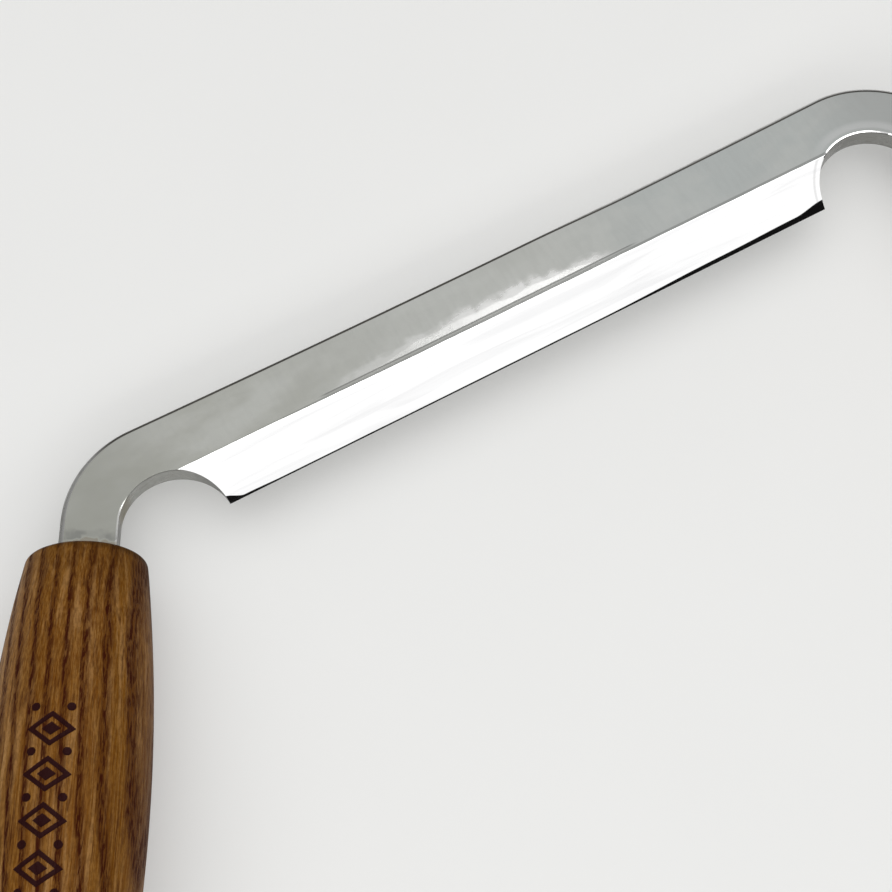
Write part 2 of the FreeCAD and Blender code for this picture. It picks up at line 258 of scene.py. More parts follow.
def satin_steel():
    """The plate's upper face and the back: ground across their width, then buffed, with smudges.

    A hazy rubbed patch above the bevel line in mid-blade is rougher and painted lighter, a painted highlight,
    with a painted shade band below it and a painted shade line along the bevel line. The face is painted
    darker towards its left end and at the left neck and right bend, as shade; a painted highlight band
    follows the right notch and painted highlights lie on the eased arrises; the necks are stained a little
    way from the wood, and right next to it carry a painted brown reflection of the wood.
    """
    shader = Shader("satin_steel", BLADE, Metallic=1.0)
    grind = shader.noise(shader.stretched(0.8, 0.16, 0.16), detail=4, roughness=0.6)
    fine = shader.noise(shader.stretched(9.0, 0.5, 0.5), detail=2)
    smudge = shader.noise(shader.stretched(0.05, 0.10, 0.10), detail=4, roughness=0.55)
    x, y = shader.axis("X"), shader.axis("Y")

    # Painted shade: the face is painted darker towards its left end, and a little cooler towards its right.
    tone = shader.mix(shader.span(x, -70, -10), rgb(0.52, 0.525, 0.475), rgb(0.63, 0.64, 0.605))
    tone = shader.mix(shader.span(x, 5, 45), tone, rgb(0.61, 0.64, 0.625))
    tone = shader.mix(shader.span(smudge, 0.35, 0.68, 0.0, 0.55), tone, rgb(0.72, 0.73, 0.70))
    # Painted shade: the left neck and, less, the right bend and neck are painted darker.
    tone = shader.mix(shader.span(x, -68, -92, 0.0, 0.62), tone, rgb(0.40, 0.405, 0.36))
    tone = shader.mix(shader.span(x, 72, 94, 0.0, 0.40), tone, rgb(0.45, 0.45, 0.435))
    tone = shader.mix(shader.span(grind, 0.4, 0.65, 0.0, 0.10), tone, rgb(0.46, 0.465, 0.45))

    from_bend = bend_distance(shader)
    # Painted highlight: a light band round the right notch.
    notch_highlight = shader.times(shader.band(from_bend, 12.0, 12.8, 13.2, 14.8),
                               shader.span(x, 70, 80, 0.0, 0.4))
    tone = shader.mix(notch_highlight, tone, rgb(0.86, 0.86, 0.86))
    # Painted highlight: the arris round the right notch, and more faintly along the left neck, is painted
    # nearly white.
    eased = shader.math("MAXIMUM", shader.span(x, 68, 72), shader.span(x, -87, -91, 0.0, 0.45))
    eased = shader.times(eased, shader.span(from_bend, 11.85, 11.65))
    tone = shader.mix(eased, tone, rgb(0.96, 0.96, 0.96))

    from_shoulder = shader.vector_math("SUBTRACT", folded_place(shader), (*SHOULDER, 0))
    to_wood = shader.vector_math("DOT_PRODUCT", from_shoulder, (*-NECK_ALONG, 0))
    uneven = shader.noise(shader.stretched(0.35, 0.35, 0.35, shift=(5, 0, 0)), detail=3)
    to_wood = shader.plus(to_wood, shader.span(uneven, 0.3, 0.7, -0.7, 0.7))
    patches = shader.noise(shader.stretched(0.28, 0.28, 0.28, shift=(2, 3, 0)), detail=3)
    stain = shader.times(shader.band(to_wood, 4.4, 5.1, 5.6, 6.9),
                         shader.span(patches, 0.38, 0.62, 0.35, 1.1))
    tone = shader.mix(shader.times(stain, 0.42), tone, rgb(0.17, 0.17, 0.17))
    # Painted reflection: right next to the wood the steel is tinted brown, the wood mirrored in it.
    tone = shader.mix(shader.span(to_wood, 4.5, 4.1, 0.0, 0.4), tone, rgb(0.26, 0.19, 0.12))

    # The rubbed patch above the bevel line in mid-blade is rougher, and its lighter colour is a painted
    # highlight.
    ragged = shader.noise(shader.stretched(0.16, 0.05, 0.05), detail=3, roughness=0.55)
    torn = shader.noise(shader.stretched(0.35, 0.9, 0.9), detail=3)
    swell = shader.band(x, -46, -30, 12, 31)
    upper = shader.math("MULTIPLY_ADD", swell, shader.span(ragged, 0.3, 0.7, 2.6, 4.9), 10.2)
    upper = shader.plus(upper, shader.span(torn, 0.2, 0.8, -0.6, 0.6))
    below_upper = shader.span(shader.math("SUBTRACT", upper, y), 0.0, 2.3)
    patch = shader.times(below_upper, shader.span(y, 10.2, 10.5))
    patch = shader.times(patch, shader.span(x, -40, 2, 0.38, 1.0))
    patch = shader.times(patch, shader.span(swell, 0.0, 0.15))
    colour = shader.mix(patch, tone, rgb(0.90, 0.90, 0.885))

    # Painted shade: a grey band below the rubbed patch in mid-blade, and a grey line along the bevel line.
    roll_shade = shader.times(shader.span(y, 9.95, 10.15, 0.3, 1.0), shader.span(y, 10.42, 10.25))
    roll_shade = shader.times(roll_shade, shader.span(swell, 0.0, 0.1, 0.0, 0.7))
    bevel_line_shade = shader.times(shader.span(y, 9.85, 9.65), shader.span(x, 78, 76))
    bevel_line_shade = shader.times(bevel_line_shade, shader.span(x, -79, -77, 0.0, 0.5))
    colour = shader.mix(shader.math("MAXIMUM", roll_shade, bevel_line_shade), colour, rgb(0.22, 0.22, 0.215))

    rough = shader.plus(shader.span(smudge, 0.3, 0.7, 0.12, 0.17), shader.span(grind, 0.3, 0.7, -0.01, 0.02))
    rough = shader.plus(rough, shader.times(patch, 0.17))
    height = shader.plus(shader.times(grind, 0.7), shader.times(fine, 0.3))
    return shader.use(Base_Color=colour, Roughness=rough, Normal=shader.bump(height, 0.0025))


def mirror_steel():
    """The bevel, polished bright, with streaks left by the stone along the edge."""
    shader = Shader("mirror_steel", BLADE, Metallic=1.0)
    streaks = shader.noise(shader.stretched(0.022, 0.45, 0.45), detail=2, roughness=0.55, distortion=0.8)
    hairs = shader.noise(shader.stretched(0.06, 5.0, 5.0), detail=2)
    blot = shader.noise(shader.stretched(0.1, 0.3, 0.3), detail=2)
    colour = shader.mix(shader.span(streaks, 0.50, 0.72, 0.0, 0.55), rgb(0.84, 0.84, 0.84),
                        rgb(0.70, 0.70, 0.705))
    colour = shader.mix(shader.span(hairs, 0.55, 0.75, 0.0, 0.15), colour, rgb(0.66, 0.66, 0.66))
    from_above = shader.vector_math("MULTIPLY", shader.place, (1, 1, 0))
    from_bend = shader.vector_math("DISTANCE", from_above, (*BEND, 0))
    beside_notch = shader.times(shader.band(from_bend, 12.1, 12.5, 12.6, 13.0), 0.5)
    colour = shader.mix(beside_notch, colour, rgb(0.50, 0.50, 0.50))
    rough = shader.plus(shader.span(blot, 0.3, 0.7, 0.04, 0.07), shader.span(streaks, 0.4, 0.8, 0.0, 0.04))
    return shader.use(Base_Color=colour, Roughness=rough, Normal=shader.bump(streaks, 0.001))


def honed_steel():
    """The narrow honed strip on the cutting edge, painted nearly black as a dark reflection."""
    shader = Shader("honed_steel", BLADE, Metallic=1.0)
    scratches = shader.noise(shader.stretched(0.3, 14.0, 14.0), detail=3)
    colour = shader.mix(shader.span(scratches, 0.35, 0.7), rgb(0.09, 0.09, 0.09),
                        rgb(0.15, 0.15, 0.148))
    return shader.use(Base_Color=colour, Roughness=shader.span(scratches, 0.3, 0.7, 0.06, 0.12),
                      Normal=shader.bump(scratches, 0.001))


def wall_steel():
    """The sawn and filed walls of the plate: duller, with file marks and traces of scale.

    The left notch is stained brown beside the neck, and the left neck's inner wall is darker. The walls from
    the right notch on are painted darker and the notch walls darken towards the edge's corners, both
    painted shade; the rims are darker. The spine is painted dark as shade, with painted highlight bands at
    its right end and along the left neck.
    """
    shader = Shader("filed_steel", BLADE, Metallic=1.0)
    x, y, z = shader.axis("X"), shader.axis("Y"), shader.axis("Z")
    file_marks = shader.noise(shader.stretched(0.8, 0.8, 5.0), detail=3)
    scale = shader.noise(shader.stretched(0.25, 0.25, 0.9), detail=4, roughness=0.65)
    colour = shader.mix(shader.span(file_marks, 0.35, 0.7), rgb(0.34, 0.34, 0.32),
                        rgb(0.41, 0.41, 0.39))
    colour = shader.mix(shader.span(scale, 0.55, 0.72, 0.0, 0.35), colour, rgb(0.20, 0.185, 0.15))

    near_neck = shader.times(shader.span(x, -86.0, -88.5), shader.band(y, 4.0, 6.0, 11.0, 13.0))
    colour = shader.mix(shader.times(near_neck, 0.6), colour, rgb(0.16, 0.125, 0.05))
    neck_side = shader.times(shader.band(x, -98.5, -97.5, -91.0, -89.5), shader.span(y, 6.5, 4.5))
    colour = shader.mix(shader.times(neck_side, 0.75), colour, rgb(0.09, 0.09, 0.085))
    # Painted shade: the walls from the right notch on are painted darker.
    colour = shader.mix(shader.span(x, 60, 70, 0.0, 0.45), colour, rgb(0.20, 0.20, 0.195))
    rims = shader.math("MAXIMUM", shader.span(z, PLATE - 0.55, PLATE - 0.15), shader.span(z, 0.45, 0.15))
    colour = shader.mix(shader.times(rims, 0.65), colour, rgb(0.10, 0.10, 0.09))
    # Painted shade: the notch walls darken towards the corners of the edge.
    near_corner = shader.span(shader.math("ABSOLUTE", x), 79.0, 76.0)
    corner_shade = shader.times(near_corner, shader.span(y, 10.0, 2.0, 0.0, 0.8))
    colour = shader.mix(corner_shade, colour, rgb(0.09, 0.09, 0.085))

    # Painted shade and highlight: the spine is painted dark, with painted highlight bands at its right end
    # and along the left neck.
    depth = shader.math("SUBTRACT", PLATE, z)
    outside = shader.span(bend_distance(shader), 16.0, 18.0)
    lit_spine = shader.times(shader.span(x, 8, 30), shader.span(depth, 0.03, 0.09))
    lit_neck = shader.times(shader.span(x, -84, -92, 0.0, 0.55), shader.span(depth, 0.35, 0.2))
    spine = shader.mix(shader.math("MAXIMUM", lit_spine, lit_neck), rgb(0.085, 0.08, 0.072),
                       rgb(0.68, 0.68, 0.67))
    spine = shader.mix(shader.span(scale, 0.45, 0.7, 0.0, 0.3), spine, rgb(0.16, 0.15, 0.13))
    colour = shader.mix(shader.times(outside, 0.88), colour, spine)
    return shader.use(Base_Color=colour, Roughness=shader.span(scale, 0.3, 0.7, 0.22, 0.42),
                      Normal=shader.bump(file_marks, 0.012))


RING_SPACING = 3.2


def ash(name, within, ring_turn, slant, seed):
    """Oiled ring-porous ash. The handle's own X is the grain; rings cross its Y and Z."""
    shader = Shader(name, within, Specular_IOR_Level=0.05)
    x, y = shader.axis("X"), shader.axis("Y")
    grain = shader.stretched(1, 1, 1, shift=(seed * 31.0, seed * 7.0, seed * 13.0))
    sway = shader.noise(shader.stretched(0.022, 0.06, 0.06, grain), detail=2)
    wobble = shader.noise(shader.stretched(0.10, 0.5, 0.5, grain), detail=2)
    across = shader.vector_math("DOT_PRODUCT", grain, (-slant, math.cos(ring_turn), math.sin(ring_turn)))
    across = shader.plus(across, shader.span(sway, 0.0, 1.0, -0.9, 0.9, "LINEAR"))
    across = shader.plus(across, shader.span(wobble, 0.0, 1.0, -0.6, 0.6, "LINEAR"))
    phase = shader.math("FRACT", shader.math("DIVIDE", across, RING_SPACING))
    early = shader.band(phase, 0.0, 0.20, 0.26, 0.66)
    pores = shader.noise(shader.stretched(0.34, 2.6, 2.6, grain), detail=3, roughness=0.6)
    vessels = shader.noise(shader.stretched(0.12, 1.3, 1.3, grain), detail=3, roughness=0.65)
    fibres = shader.noise(shader.stretched(0.09, 5.0, 5.0, grain), detail=3, roughness=0.6)
    cloud = shader.noise(shader.stretched(0.03, 0.12, 0.12, grain), detail=2)
    porous = shader.times(early, shader.span(pores, 0.44, 0.58, 0.05, 1.0))
    stray = shader.times(shader.span(vessels, 0.52, 0.68), 0.6)
    dark = shader.math("MAXIMUM", porous, stray, clamp=True)

    wood = shader.mix(shader.span(cloud, 0.3, 0.7), rgb(0.125, 0.040, 0.001), rgb(0.175, 0.064, 0.004))
    wood = shader.mix(shader.span(fibres, 0.35, 0.68, 0.0, 0.8), wood, rgb(0.270, 0.130, 0.030))
    streaks = shader.noise(shader.stretched(0.03, 0.8, 0.8, grain), detail=3, roughness=0.6)
    # Painted light: besides its pale grain streaks, each handle is painted paler on its left side, where the
    # light falls.
    pale = shader.plus(shader.span(streaks, 0.48, 0.66, 0.0, 0.65), shader.span(y, -5.0, -12.0, 0.0, 0.5))
    wood = shader.mix(pale, wood, rgb(0.350, 0.185, 0.062))
    speckle = shader.noise(shader.stretched(0.8, 2.2, 2.2, grain), detail=3, roughness=0.65)
    wood = shader.mix(shader.span(speckle, 0.38, 0.60, 0.38, 0.0), wood, rgb(0.060, 0.018, 0.0005))
    wood = shader.mix(shader.times(early, 0.66), wood, rgb(0.076, 0.020, 0.0))
    wood = shader.mix(dark, wood, rgb(0.036, 0.0045, 0.0))
    wood = shader.mix(shader.span(x, 1.6, 0.4, 0.0, 0.6), wood, rgb(0.025, 0.009, 0.001))
    wood = shader.mix(shader.span(x, 16.0, -2.0, 0.0, 0.35), wood, rgb(0.070, 0.027, 0.001))
    burn = shader.node("ShaderNodeAttribute", attribute_name="burn").outputs["Fac"]
    wood = shader.mix(shader.span(burn, 0.25, 0.75), wood, rgb(0.018, 0.0030, 0.003))
    rough = shader.span(dark, 0.0, 1.0, 0.45, 0.68)
    height = shader.math("SUBTRACT", shader.times(fibres, 0.25), dark)
    return shader.use(Base_Color=wood, Roughness=rough, Normal=shader.bump(height, 0.09, 0.8))


def resin():
    """Hardened amber resin with fine bubbles and a little wood dust in it."""
    shader = Shader("amber_resin", BLADE, IOR=1.5, Coat_Weight=0.3)
    cloud = shader.noise(shader.stretched(0.4, 0.4, 0.4), detail=4)
    dust = shader.noise(shader.stretched(2.5, 2.5, 2.5), detail=2)
    colour = shader.mix(shader.span(cloud, 0.3, 0.7), rgb(0.10, 0.046, 0.010), rgb(0.20, 0.10, 0.028))
    colour = shader.mix(shader.span(dust, 0.6, 0.7), colour, rgb(0.05, 0.025, 0.007))
    return shader.use(Base_Color=colour, Roughness=shader.span(dust, 0.3, 0.7, 0.18, 0.4),
                      Normal=shader.bump(dust, 0.05))


# ---- meshes ----------------------------------------------------------------------------------

CREASE = math.radians(35)
HONE_CREASE = math.radians(7)
SATIN, MIRROR, HONED, WALL = range(4)  # the blade's finishes, in the order of its materials


def new_mesh(name, points, faces, materials):
    """A smooth-shaded mesh from points in millimetres."""
    mesh = bpy.data.meshes.new(name)
    mesh.from_pydata([tuple(c * MM for c in p) for p in points], [], faces)
    for material in materials:
        mesh.materials.append(material)
    mesh.polygons.foreach_set("use_smooth", [True] * len(mesh.polygons))
    return mesh


def loft(rows, around):
    """Faces that join rows of points, each row closed and with the same number of points."""
    faces = []
    for j in range(rows - 1):
        for i in range(around):
            k = (i + 1) % around
            faces.append((j * around + i, j * around + k, (j + 1) * around + k, (j + 1) * around + i))
    return faces


def finish_object(name, mesh, matrix, merge):
    """An object from a mesh, with points closer than merge joined and its sharp edges marked.

    The edges of the honed strip are sharp at a much smaller angle than the others.
    """
    work = bmesh.new()
    work.from_mesh(mesh)
    bmesh.ops.remove_doubles(work, verts=work.verts, dist=merge * MM)
    bmesh.ops.dissolve_degenerate(work, edges=work.edges, dist=merge * MM)
    bmesh.ops.recalc_face_normals(work, faces=work.faces)
    for edge in work.edges:
        if len(edge.link_faces) == 2:
            slots = {face.material_index for face in edge.link_faces}
            limit = HONE_CREASE if HONED in slots and len(slots) > 1 else CREASE
            edge.smooth = edge.calc_face_angle(0.0) < limit
    work.to_mesh(mesh)
    work.free()
    mesh.transform(matrix)
    made = bpy.data.objects.new(name, mesh)
    bpy.context.scene.collection.objects.link(made)
    return made


def weight_normals(made):
    """Flat faces stay flat in their shading next to narrow rounded arrises."""
    modifier = made.modifiers.new("even_shading", "WEIGHTED_NORMAL")
    modifier.mode = "FACE_AREA"
    modifier.weight = 100
    modifier.keep_sharp = True


# ---- blade -----------------------------------------------------------------------------------

FINE_RIBS_FROM, RIB_STEP = 66, 0.6

# Points along each strip of a section and its finish, in the order of the knots in section().
STRIP_POINTS = (6, 2, 12, 5, 2, 14, 5, 16)
STRIP_FINISHES = (WALL, HONED, MIRROR, SATIN, SATIN, SATIN, WALL, SATIN)


def spine_y(x):
    return SPINE_LOW + SPINE_RADIUS - math.sqrt(SPINE_RADIUS ** 2 - x * x)


def ribs():
    """Right half of the blade, from its middle to the shoulder: (inner point, outer point, how far
    along the bend and neck it is, from 0 to 1)."""
    found = []
    for x in [*np.arange(0, FINE_RIBS_FROM, RIB_STEP), *np.linspace(FINE_RIBS_FROM, EDGE_HALF, 14)[:-1]]:
        found.append(((x, 0.0), (x, spine_y(x)), 0.0))
    last = math.pi / 2 + SPINE_TURN
    tangent_x = BEND_X - OUTER_RADIUS * math.sin(SPINE_TURN)
    for t in np.linspace(0, 1, 60)[:-1]:
        turn = CORNER_TURN + (last - CORNER_TURN) * t
        x = EDGE_HALF + (tangent_x - EDGE_HALF) * t
        found.append((tuple(BEND + NOTCH_RADIUS * np.array((math.cos(turn), math.sin(turn)))),
                      (x, spine_y(x)), 0.0))
    for turn in np.linspace(last, SPLAY, 48)[:-1]:
        ray = np.array((math.cos(turn), math.sin(turn)))
        found.append((tuple(BEND + NOTCH_RADIUS * ray), tuple(BEND + OUTER_RADIUS * ray),
                      smooth(last, SPLAY, turn)))
    for along in np.linspace(0, NECK_RUN, 14):
        foot = BEND + along * NECK_ALONG
        found.append((tuple(foot + NOTCH_RADIUS * NECK_OUT), tuple(foot + OUTER_RADIUS * NECK_OUT), 1.0))
    return found


def hone_width(x):
    """Honed strip: a hair's width along most of the edge, wider towards its corners."""
    if x > 0:
        wear = 0.45 * smooth(14, 45, x) + 0.25 * smooth(45, 64, x) + 0.75 * smooth(63, 70, x)
    else:
        wear = 0.15 * smooth(58, 66, -x) + 1.1 * smooth(66.5, 70.6, -x)
    return 0.24 + 0.03 * wander(x, 9, 1) + wear


def line_y(x):
    """The bevel line wanders a little, and bows towards the edge from its left end on."""
    return (BEVEL_LINE - 0.37 * smooth(-66, -30, x) - 0.1 * smooth(0, 40, x)
            + 0.05 * wander(x, 7, 5) + 0.03 * wander(x, 2.2, 6))


ROLL_LEAST, ROLL_LEAST_DROP = 0.10, 0.02


def roll_width(x):
    """How far above the bevel line the polishing wheel has rolled the plate's face down to it."""
    swell = smooth(-46, -14, x) * (1 - smooth(10, 28, x))
    return ROLL_LEAST + swell * (2.6 + 0.8 * wander(x, 4.5, 2))


def section(inner, outer, side, along_neck):
    """One closed section across the blade: points, and the material slot of each strip.

    Knots: foot of the inner wall, its arris, hone line, bevel line, top of the roll, end of the
    eased arris, spine arris, spine foot. A line that the section doesn't reach falls on the arris.
    """
    (px, py), (qx, qy) = inner, outer
    px, qx = px * side, qx * side
    width = math.hypot(qx - px, qy - py)
    ground = abs(px) < BEND_X
    hone, line = hone_width(px), line_y(px)
    hone_top = hone * math.tan(HONE_ANGLE)
    roll = roll_width(px)
    roll_drop = ROLL_LEAST_DROP + (roll - ROLL_LEAST) * math.tan(ROLL_ANGLE)
    line_z = PLATE - roll_drop

    def top(y):
        """Height of the upper surface."""
        if not ground or y >= line + roll:
            return PLATE
        if y >= line:
            return line_z + roll_drop * (y - line) / roll
        if y >= hone:
            return hone_top + (line_z - hone_top) * (y - hone) / (line - hone)
        return max(y, 0.0) * hone_top / hone

    def at(y):
        """Distance along the rib where it reaches y, or 0 if it starts beyond."""
        if not ground or py >= y:
            return 0.0
        return width * (y - py) / (qy - py)

    # The arris is worn round the right notch and along both necks.
    if side < 0:
        worn = smooth(0.5, 0.95, along_neck)
        spine_round = SPINE_ROUND + 0.3 * along_neck
    else:
        worn = smooth(7.0, 10.0, py) or smooth(0, 0.1, along_neck)
        spine_round = SPINE_ROUND + 0.35 * smooth(10, 35, px)
    ease = 0.02 + 0.34 * worn
    ease_drop = 0.003 + 0.080 * worn
    knots = [(0.0, 0.0, BACK_ROUND, WALL),
             (0.0, top(py) - ease_drop, 0.12 + 0.13 * worn, SATIN if worn > 0.3 else WALL)]
    for y, radius, slot in ((hone, 0.02, HONED), (line, 0.12, MIRROR), (line + roll, 1.2, SATIN)):
        s = at(y)
        knots.append((s, top(py) - ease_drop if s == 0 else top(y), radius, slot))
    knots.append((max(ease, knots[-1][0] + 0.02), PLATE, 0.1, SATIN))
    knots += [(width, PLATE, spine_round, WALL), (width, 0.0, SPINE_FOOT_ROUND, WALL)]
    return rounded(knots, (px, py), (qx, qy), width)


def rounded(knots, p, q, width):
    """Rounds a closed polygon's corners and places its points along the rib from p to q.

    A knot is (distance along the rib, height, radius, material slot of its rounded corner).
    """
    flat = [np.array(k[:2]) for k in knots]
    total = len(knots)
    gaps = [np.linalg.norm(flat[(i + 1) % total] - flat[i]) for i in range(total)]
    trims = [min(k[2], 0.45 * gaps[i], 0.45 * gaps[i - 1]) for i, k in enumerate(knots)]
    points, strips = [], []

    def unit(i):
        return (flat[(i + 1) % total] - flat[i]) / gaps[i] if gaps[i] > 1e-9 else np.zeros(2)

    for i in range(total):
        before, after = flat[i] - trims[i] * unit(i - 1), flat[i] + trims[i] * unit(i)
        for t in (0.0, 0.25, 0.5, 0.75):
            points.append(round_off(before, flat[i], after, t))
            strips.append(knots[i][3])
        far = flat[(i + 1) % total] - trims[(i + 1) % total] * unit(i)
        for t in np.linspace(0, 1, STRIP_POINTS[i], endpoint=False):
            points.append(after + (far - after) * t)
            strips.append(STRIP_FINISHES[i])
    across = (np.array(q) - np.array(p)) / width
    return [(*(np.array(p) + s * across), z) for s, z in points], strips


def tang_sections(side, neck_end):
    """Sections of the tang from root to tip, each the neck's last section clipped to its size.

    neck_end holds that section's points, as distances from the middle of the neck.
    """
    found = []
    for along, half in ((0.0, TANG_ROOT / 2), (TANG_LENGTH / 2, (TANG_ROOT + TANG_TIP) / 4),
                        (TANG_LENGTH, TANG_TIP / 2)):
        loop = []
        for aside, above in neck_end:
            z = PLATE / 2 + np.clip(above, -TANG_THICK / 2, TANG_THICK / 2)
            x, y = SHOULDER + along * NECK_ALONG + np.clip(aside, -half, half) * NECK_OUT
            loop.append((x * side, y, z))
        found.append(loop)
    return found


def blade_sections(side):
    """Sections of one half of the blade with its tang, from the middle outwards."""
    found, strips = [], None
    for inner, outer, along_neck in ribs():
        loop, strips = section(inner, outer, side, along_neck)
        found.append(loop)
    neck_end = []
    for x, y, z in found[-1]:
        offset = np.array((x * side, y)) - SHOULDER
        neck_end.append((float(offset @ NECK_OUT), z - PLATE / 2))
    return found + tang_sections(side, neck_end), strips


def make_blade(materials):
    """Both halves lofted as one closed skin, from the left tang's tip to the right one's."""
    left, strips = blade_sections(-1)
    right, _ = blade_sections(1)
    loops = left[:0:-1] + right
    count, last = len(strips), len(loops) - 1
    faces = loft(len(loops), count)
    faces += [tuple(range(j * count, (j + 1) * count)) for j in (0, last)]
    mesh = new_mesh("blade_ground", [p for loop in loops for p in loop], faces, materials)
    mesh.polygons.foreach_set("material_index", strips * last + [SATIN, SATIN])
    made = finish_object("blade_ground", mesh, BLADE, 1e-5)
    weight_normals(made)
    return made


# ---- handles ---------------------------------------------------------------------------------

def barrel(s):
    """Radius of the handle at s along its axis, before its rims are rounded."""
    return BELLY_RADIUS - BARREL_RADIUS + math.sqrt(BARREL_RADIUS ** 2 - (s - BELLY_AT) ** 2)


def corner(before, at, after, radius, count):
    """Points round a profile's corner, trimmed back by radius on both sides."""
    at, before, after = np.array(at), np.array(before), np.array(after)
    start = at + (before - at) * radius / np.linalg.norm(before - at)
    end = at + (after - at) * radius / np.linalg.norm(after - at)
    return [tuple(round_off(start, at, end, t)) for t in np.linspace(0, 1, count)]


def handle_profile(marked):
    """Closed half section (along, radius) of a handle, bore first; finer under the ornament."""
    rim = barrel(HANDLE_LENGTH)
    dome_radius = (rim ** 2 + BUTT_DOME ** 2) / (2 * BUTT_DOME)
    dome_centre = HANDLE_LENGTH + BUTT_DOME - dome_radius

    def dome(r):
        return dome_centre + math.sqrt(dome_radius ** 2 - r * r)

    profile = [(BORE_DEPTH + DRILL_POINT, 0.0), (BORE_DEPTH, BORE_RADIUS),
               *[(s, BORE_RADIUS) for s in np.linspace(BORE_DEPTH, 1, 12)[1:]]]
    profile += corner((1, BORE_RADIUS), (0, BORE_RADIUS), (0, 8), 0.25, 4)
    profile += [(0.0, r) for r in np.linspace(6, SHOULDER_RADIUS - SHOULDER_ROUND - 0.6, 8)]
    start = 4.0
    profile += corner((0, 8), (0, SHOULDER_RADIUS), (start, barrel(start)), SHOULDER_ROUND, 10)
    s, end = 1.6, HANDLE_LENGTH - BUTT_ROUND
    while s < end:
        profile.append((s, barrel(s)))
        s += 0.22 if marked and MARK_FROM - 0.5 <= s <= MARK_TO else 0.8
    inner = rim - BUTT_ROUND
    profile += corner((end, barrel(end)), (HANDLE_LENGTH, rim), (dome(inner), inner), BUTT_ROUND, 16)
    profile += [(dome(r), r) for r in np.linspace(inner, 0, 14)[1:]]
    return profile


def ornament(s, t):
    """How deeply the burnt ornament marks the wood, 0 to 1, at s along the axis and t across.

    A plain repeating border of nested lozenges with dots between them.
    """
    if not MARK_FROM < s < MARK_TO or abs(t) > MARK_HALF_WIDTH:
        return 0.0
    mark = 0.0
    steps = (s - FIRST_LOZENGE_AT) / LOZENGE_PITCH
    if 0 <= round(steps) < LOZENGES:
        middle = FIRST_LOZENGE_AT + round(steps) * LOZENGE_PITCH
        d = abs(s - middle) / LOZENGE_HALF_LENGTH + abs(t) / LOZENGE_HALF_WIDTH
        ring = 1 - smooth(0.13, 0.20, abs(d - 0.81))
        heart = 1 - smooth(0.34, 0.42, d)
        mark = max(ring, heart)
    gap = math.floor(steps)
    if -1 <= gap < LOZENGES:
        middle = FIRST_LOZENGE_AT + (gap + 0.5) * LOZENGE_PITCH
        for aside in (-DOT_ASIDE, DOT_ASIDE):
            mark = max(mark, 1 - smooth(0.72, 0.95, math.hypot(s - middle, t - aside)))
    return mark


def handle_frame(side):
    """A handle's X runs from its shoulder to its butt, and its Z away from the blade's back."""
    x_axis = Vector((side * NECK_ALONG[0], NECK_ALONG[1], 0))
    z_axis = Vector((0, 0, 1))
    turn = Matrix((x_axis, z_axis.cross(x_axis), z_axis)).transposed().to_4x4()
    place = Matrix.Translation(Vector((side * SHOULDER[0], SHOULDER[1], PLATE / 2)) * MM)
    return BLADE @ place @ turn


def make_handle(name, side, material, marked):
    """A turned handle, in its own frame, with how burnt each point is as an attribute."""
    profile = handle_profile(marked)
    mark_turn = math.pi / 2 + MARK_TURN
    if marked:
        fine = (MARK_HALF_WIDTH + 0.2) / BELLY_RADIUS
        angles = [*np.linspace(mark_turn - fine, mark_turn + fine, 58),
                  *np.linspace(mark_turn + fine, mark_turn - fine + 2 * math.pi, 92)[1:-1]]
    else:
        angles = list(np.linspace(0, 2 * math.pi, 128, endpoint=False))
    points, burns = [], []
    for s, r in profile:
        outside = r > BORE_RADIUS + 1
        for angle in angles:
            burn = ornament(s, (angle - mark_turn) * r) if marked and outside else 0.0
            lift = 0.0
            if outside and 2 < s < HANDLE_LENGTH - 1:
                spot = Vector((s / 30, math.cos(angle) * 1.6, math.sin(angle) * 1.6 + side * 9))
                lift = TURNING_WAVE * noise.noise(spot) - MARK_DEPTH * burn
            skew = side * SHOULDER_SKEW * math.cos(angle) * r / SHOULDER_RADIUS * (1 - smooth(0.5, 12, s))
            points.append((s + (skew if outside else 0), (r + lift) * math.cos(angle),
                           (r + lift) * math.sin(angle)))
            burns.append(burn)
    mesh = new_mesh(name, points, loft(len(profile), len(angles)), [material])
    mesh.attributes.new("burn", "FLOAT", "POINT").data.foreach_set("value", burns)
    return finish_object(name, mesh, handle_frame(side), 1e-4)


# ---- build -----------------------------------------------------------------------------------

steels = [satin_steel(), mirror_steel(), honed_steel(), wall_steel()]
blade = make_blade(steels)
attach(blade, "root")
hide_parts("blade")

for side_name, side, ring_turn, slant in (("left", -1, 0.25, 0.06), ("right", 1, 2.0, -0.03)):
    wood = ash(f"oiled_ash_{side_name}", handle_frame(side), ring_turn, slant, 1 + (side > 0))
    handle = make_handle(f"handle_{side_name}_turned", side, wood, side < 0)
    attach(handle, "root")
    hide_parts(f"handle_{side_name}")

amber = resin()
for side_name in ("left", "right"):
    bedding = frame["nodes"][f"tang_bedding_{side_name}"]
    for slot in bedding.material_slots:
        slot.material = amber

# ---- stage -----------------------------------------------------------------------------------

FLOOR_M = 3.0
EYE = (-130.25, -193.04, 408.58)
AIM = (-28.0, -11.7, 4.6)
LENS_MM, SENSOR_MM = 93.25, 36.0
LIGHT_DISTANCE_M = 0.9
CEILING_M, CEILING_HEIGHT_M, CEILING_RADIANCE = 12.0, 4.8, 0.85


